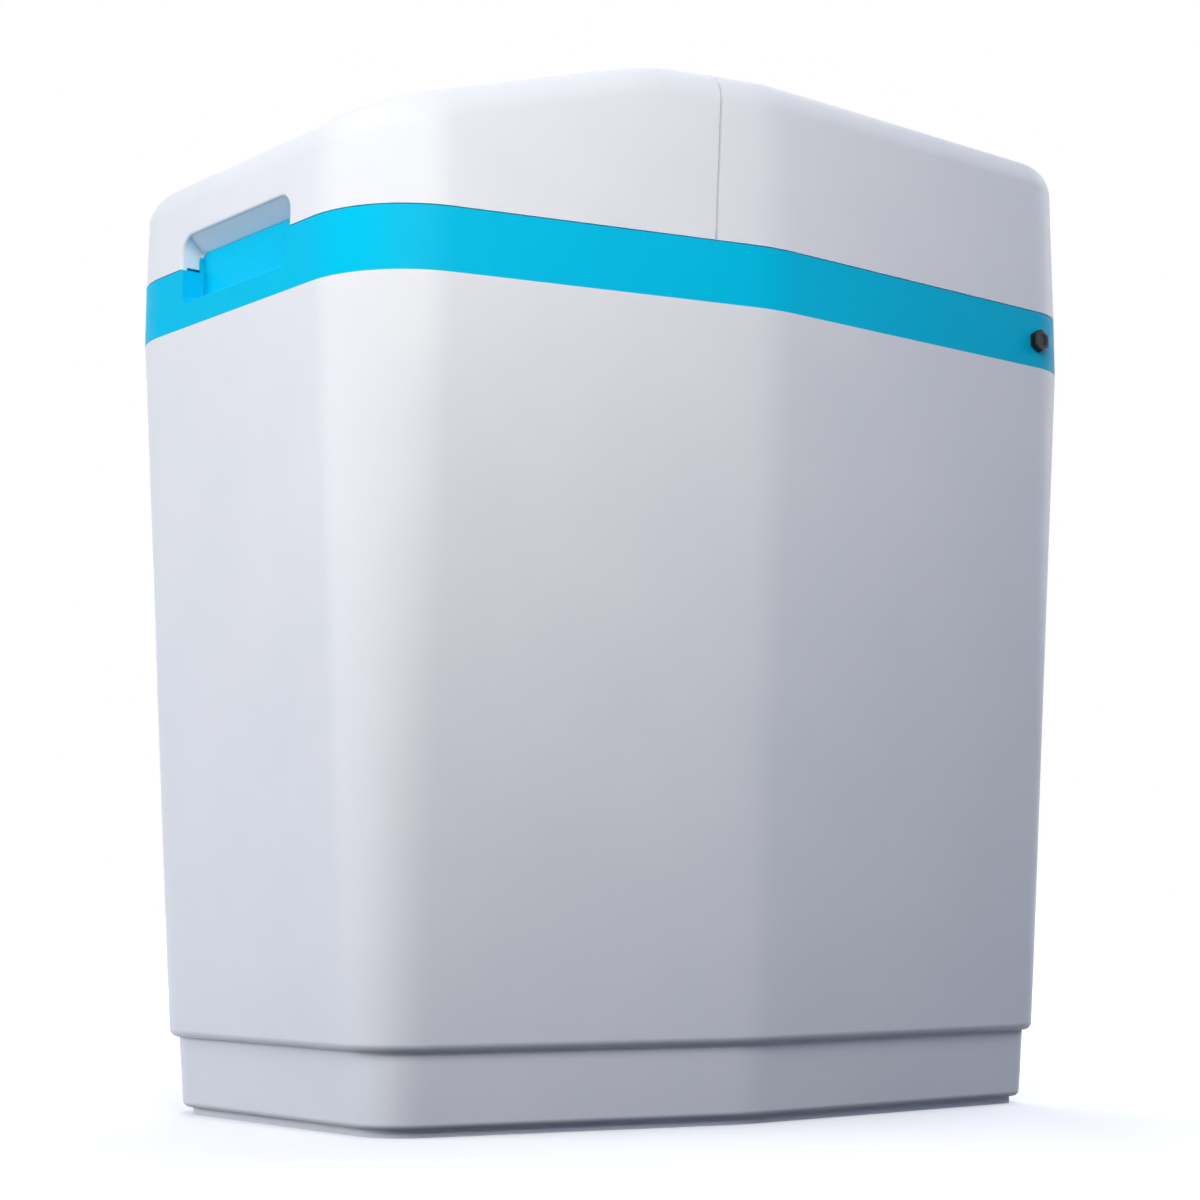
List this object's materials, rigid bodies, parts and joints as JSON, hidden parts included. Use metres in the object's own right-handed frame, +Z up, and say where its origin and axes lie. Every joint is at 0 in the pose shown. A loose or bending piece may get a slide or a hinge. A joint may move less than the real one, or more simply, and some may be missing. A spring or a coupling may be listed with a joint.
{
  "type": "water softener",
  "caption": "Cabinet water softener with drafted white walls, a blue collar, a hinged salt lid with a finger pocket, a rear cover and a resin vessel with its control valve inside.",
  "frame": {"origin": "middle of the cabinet's plan on the floor plane", "axes": "+Z up; the salt lid's finger pocket faces -Y and the water connections face +Y"},
  "size_m": [0.3604, 0.48, 0.5365],
  "materials": {
    "white_shell": "satin moulded white",
    "blue_band": "satin moulded bright blue",
    "black_plastic": "fine grained black",
    "black_rubber": "plain black rubber",
    "button_rubber": "soft touch dark grey",
    "grey_plastic": "moulded grey",
    "vessel_shell": "wound glass fibre, grey",
    "white_plastic": "natural white moulding",
    "clear_tube": "milky flexible tube",
    "blue_plastic": "moulded blue",
    "ceramic": "lapped ceramic",
    "steel": "brushed",
    "display_glass": "clear window",
    "display_face": "liquid crystal face",
    "circuit_green": "lacquered circuit board",
    "resin_beads": "amber beads"
  },
  "bodies": {
    "housing": {"cabinet": "white_shell", "rear_cover": "white_shell", "collar": "blue_band", "overflow_plug": "black_plastic", "overflow_nut": "black_plastic", "vessel_boot": "black_plastic", "lower_basket": "black_plastic", "upper_basket": "black_plastic", "valve_body": "black_plastic", "valve_cap": "black_plastic", "inlet_pipe": "black_plastic", "outlet_pipe": "black_plastic", "drain_elbow": "black_plastic", "power_inlet": "black_plastic", "brine_nut": "black_plastic", "well_cap": "black_plastic", "brine_valve": "black_plastic", "overflow_seal": "black_rubber", "neck_seal": "black_rubber", "deck": "grey_plastic", "panel_housing": "grey_plastic", "turbine_guide": "grey_plastic", "brine_well": "grey_plastic", "resin_vessel": "vessel_shell", "riser_tube": "white_plastic", "air_check": "white_plastic", "salt_grid": "white_plastic", "brine_tube": "clear_tube", "port_clips": "blue_plastic", "injector_cap": "blue_plastic", "fixed_disc": "ceramic", "hinge_pins": "steel", "deck_screws": "steel", "cover_screws": "steel", "valve_screws": "steel", "panel_screws": "steel", "board_screws": "steel", "drive_motor": "steel", "power_nut": "steel", "display_window": "display_glass", "display_module": "display_face", "circuit_board": "circuit_green", "resin_bed": "resin_beads"},
    "salt_lid": {"front_lid": "white_shell"},
    "valve_rotor": {"moving_disc": "ceramic", "valve_shaft": "steel", "drive_gear": "white_plastic"},
    "pinion": {"motor_pinion": "steel"},
    "turbine": {"meter_turbine": "white_plastic"},
    "float": {"float_rod": "steel", "brine_float": "white_plastic"},
    "menu_button": {"button_menu": "button_rubber"},
    "down_button": {"button_down": "button_rubber"},
    "up_button": {"button_up": "button_rubber"},
    "set_button": {"button_set": "button_rubber"}
  },
  "joints": [
    {"name": "lid_hinge", "type": "hinge", "parent": "housing", "child": "salt_lid", "pos_m": [0, -0.04434, 0.533], "axis": [-1, 0, 0], "range_deg": [0, 115]},
    {"name": "rotor_spin", "type": "hinge", "parent": "housing", "child": "valve_rotor", "pos_m": [0, 0.0881, 0.485], "axis": [0, 0, 1], "continuous": true},
    {"name": "pinion_spin", "type": "hinge", "parent": "housing", "child": "pinion", "pos_m": [0.048, 0.0881, 0.485], "axis": [0, 0, 1], "continuous": true},
    {"name": "turbine_spin", "type": "hinge", "parent": "housing", "child": "turbine", "pos_m": [-0.026, 0.1701, 0.454], "axis": [0, 1, 0], "continuous": true},
    {"name": "float_lift", "type": "slide", "parent": "housing", "child": "float", "axis": [0, 0, 1], "range_m": [0, 0.01]},
    {"name": "menu_press", "type": "slide", "parent": "housing", "child": "menu_button", "axis": [0, 0.9135, -0.4067], "range_m": [0, 0.001], "stiffness_N_per_m": 800, "springref_m": -0.001},
    {"name": "down_press", "type": "slide", "parent": "housing", "child": "down_button", "axis": [0, 0.9135, -0.4067], "range_m": [0, 0.001], "stiffness_N_per_m": 800, "springref_m": -0.001},
    {"name": "up_press", "type": "slide", "parent": "housing", "child": "up_button", "axis": [0, 0.9135, -0.4067], "range_m": [0, 0.001], "stiffness_N_per_m": 800, "springref_m": -0.001},
    {"name": "set_press", "type": "slide", "parent": "housing", "child": "set_button", "axis": [0, 0.9135, -0.4067], "range_m": [0, 0.001], "stiffness_N_per_m": 800, "springref_m": -0.001}
  ],
  "couplings": [
    {"joint": "pinion_spin", "follows": "rotor_spin", "ratio": -3.5714}
  ]
}
